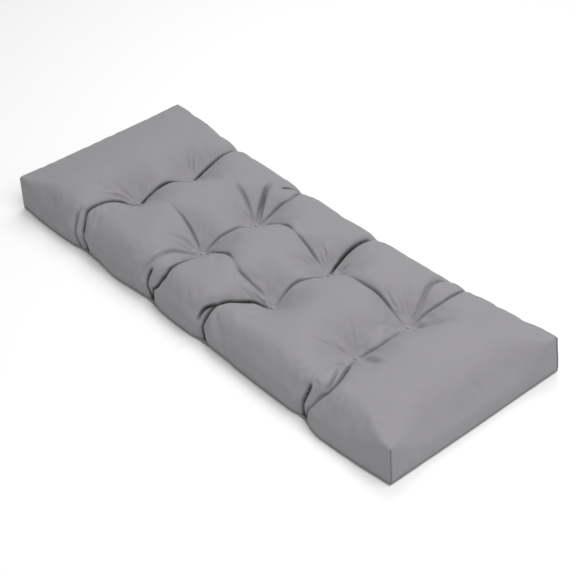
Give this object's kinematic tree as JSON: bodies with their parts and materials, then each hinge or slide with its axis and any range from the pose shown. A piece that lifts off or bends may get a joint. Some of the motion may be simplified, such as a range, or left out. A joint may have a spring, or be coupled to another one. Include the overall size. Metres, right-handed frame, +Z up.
{
  "type": "tufted bench cushion",
  "caption": "Long grey outdoor bench seat cushion with boxed corners, tufted in two rows so that soft folds cross its top.",
  "frame": {"origin": "middle of the underside", "axes": "+X along the length, towards the right end in the picture; -Y towards the front long side; +Z up, out of the tufted face"},
  "size_m": [1.3456, 0.533, 0.1228],
  "materials": {
    "cloth": "matt woven polyester",
    "thread": "thick polyester thread"
  },
  "bodies": {
    "root": {"cushion": "cloth", "tuft_tie_1": "thread", "tuft_tie_2": "thread", "tuft_tie_3": "thread", "tuft_tie_4": "thread", "tuft_tie_5": "thread", "tuft_tie_6": "thread", "tuft_tie_7": "thread", "tuft_tie_8": "thread"}
  },
  "joints": []
}
